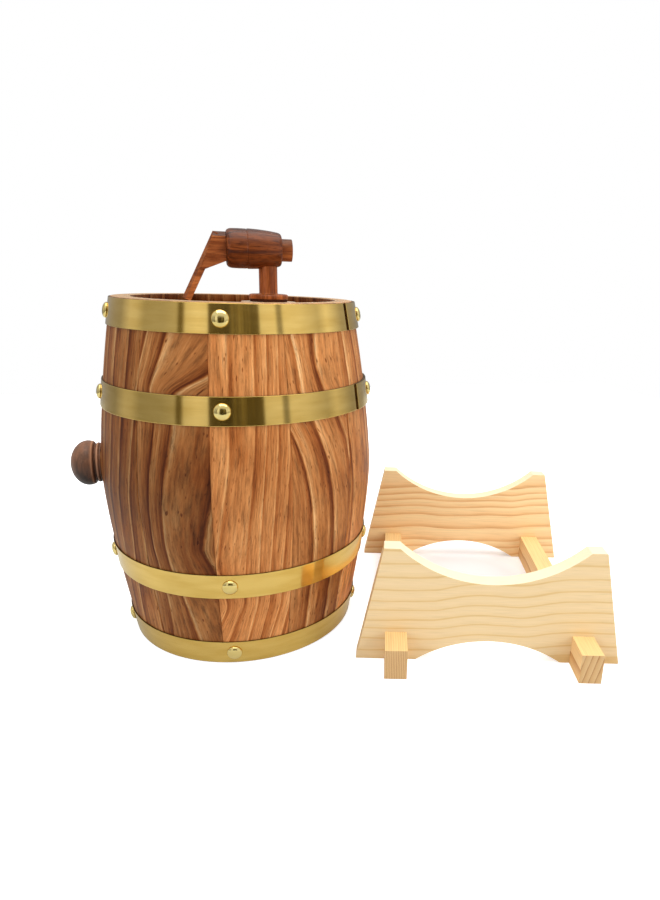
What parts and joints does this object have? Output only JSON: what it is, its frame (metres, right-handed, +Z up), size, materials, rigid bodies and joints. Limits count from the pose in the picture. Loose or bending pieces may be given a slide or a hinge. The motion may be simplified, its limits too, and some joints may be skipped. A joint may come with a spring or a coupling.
{
  "type": "stave cask drink dispenser",
  "caption": "Upright wooden stave cask with brass hoops, a bung, a turned wooden tap with a turning key, and a separate cradle stand.",
  "frame": {"origin": "centre of the cask's foot plane, on the cask's axis", "axes": "+Z up the cask's axis to the head that carries the tap; +X the way the spout points; the bung points along -X"},
  "size_m": [0.4489, 0.2848, 0.3103],
  "materials": {
    "stave_wood": "stained reddish brown, satin lacquer",
    "head_wood": "stained reddish brown, satin lacquer",
    "hoop_brass": "brushed lengthways, bright",
    "nail_brass": "polished dome heads",
    "bung_wood": "dark stain, satin lacquer",
    "boss_wood": "pale, unstained",
    "gasket_rubber": "black, matt",
    "tap_wood": "red-brown hardwood, gloss lacquer",
    "stand_wood": "planed softwood, unfinished"
  },
  "bodies": {
    "cask": {"stave_00": "stave_wood", "stave_01": "stave_wood", "stave_02": "stave_wood", "stave_03": "stave_wood", "stave_04": "stave_wood", "stave_05": "stave_wood", "stave_06_bung": "stave_wood", "stave_07": "stave_wood", "stave_08": "stave_wood", "stave_09": "stave_wood", "stave_10": "stave_wood", "stave_11": "stave_wood", "front_head_1": "head_wood", "front_head_2": "head_wood", "front_head_3": "head_wood", "front_head_4": "head_wood", "front_head_5": "head_wood", "back_head_1": "head_wood", "back_head_2": "head_wood", "back_head_3": "head_wood", "back_head_4": "head_wood", "back_head_5": "head_wood", "hoop_1_top": "hoop_brass", "hoop_2": "hoop_brass", "hoop_3": "hoop_brass", "hoop_4_foot": "hoop_brass", "nails_1": "nail_brass", "nails_2": "nail_brass", "nails_3": "nail_brass", "nails_4": "nail_brass", "tap_boss": "boss_wood", "tap_gasket": "gasket_rubber", "tap_shank": "tap_wood", "tap_barrel": "tap_wood"},
    "key": {"tap_key": "tap_wood"},
    "bung": {"bung": "bung_wood"},
    "stand": {"cradle_front": "stand_wood", "cradle_back": "stand_wood", "stand_rail_left": "stand_wood", "stand_rail_right": "stand_wood"}
  },
  "joints": [
    {"name": "key_turn", "type": "hinge", "parent": "cask", "child": "key", "pos_m": [0, 0, 0.2958], "axis": [1, 0, 0], "range_deg": [-90, 90]},
    {"name": "bung_pull", "type": "slide", "parent": "cask", "child": "bung", "axis": [-1, 0, 0], "range_m": [0, 0.04]},
    {"name": "stand_shift", "type": "slide", "parent": "cask", "child": "stand", "axis": [1, 0, 0], "range_m": [0, 0.1]}
  ]
}
